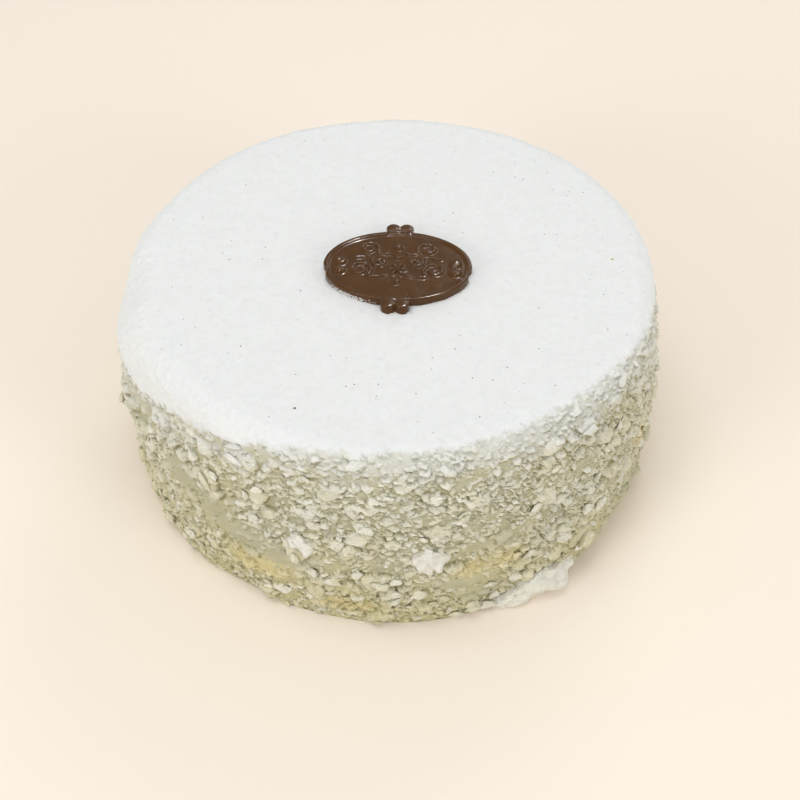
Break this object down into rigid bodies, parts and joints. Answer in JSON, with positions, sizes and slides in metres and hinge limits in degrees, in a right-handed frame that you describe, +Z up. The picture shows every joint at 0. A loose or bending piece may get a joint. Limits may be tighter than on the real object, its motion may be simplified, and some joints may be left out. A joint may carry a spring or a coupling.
{
  "type": "round meringue cake",
  "caption": "Tall round cake under smooth icing sugar, its side coated in crushed meringue, with an oval moulded chocolate plaque on top.",
  "frame": {"origin": "middle of the flat base that the cake stands on", "axes": "+Z up through the cake's middle; -Y is the front, towards the long edge of the plaque that lies nearest the viewer; +X to the right"},
  "size_m": [0.2106, 0.2103, 0.09],
  "materials": {
    "cake": "powdery icing sugar on top, ivory crushed meringue on the side",
    "meringue": "matt, chalky baked meringue",
    "chocolate": "moulded dark chocolate with a soft gloss"
  },
  "bodies": {
    "root": {"cake": "cake", "meringue_piece_1": "meringue", "meringue_piece_2": "meringue", "meringue_piece_3": "meringue", "chocolate_plaque": "chocolate"}
  },
  "joints": []
}
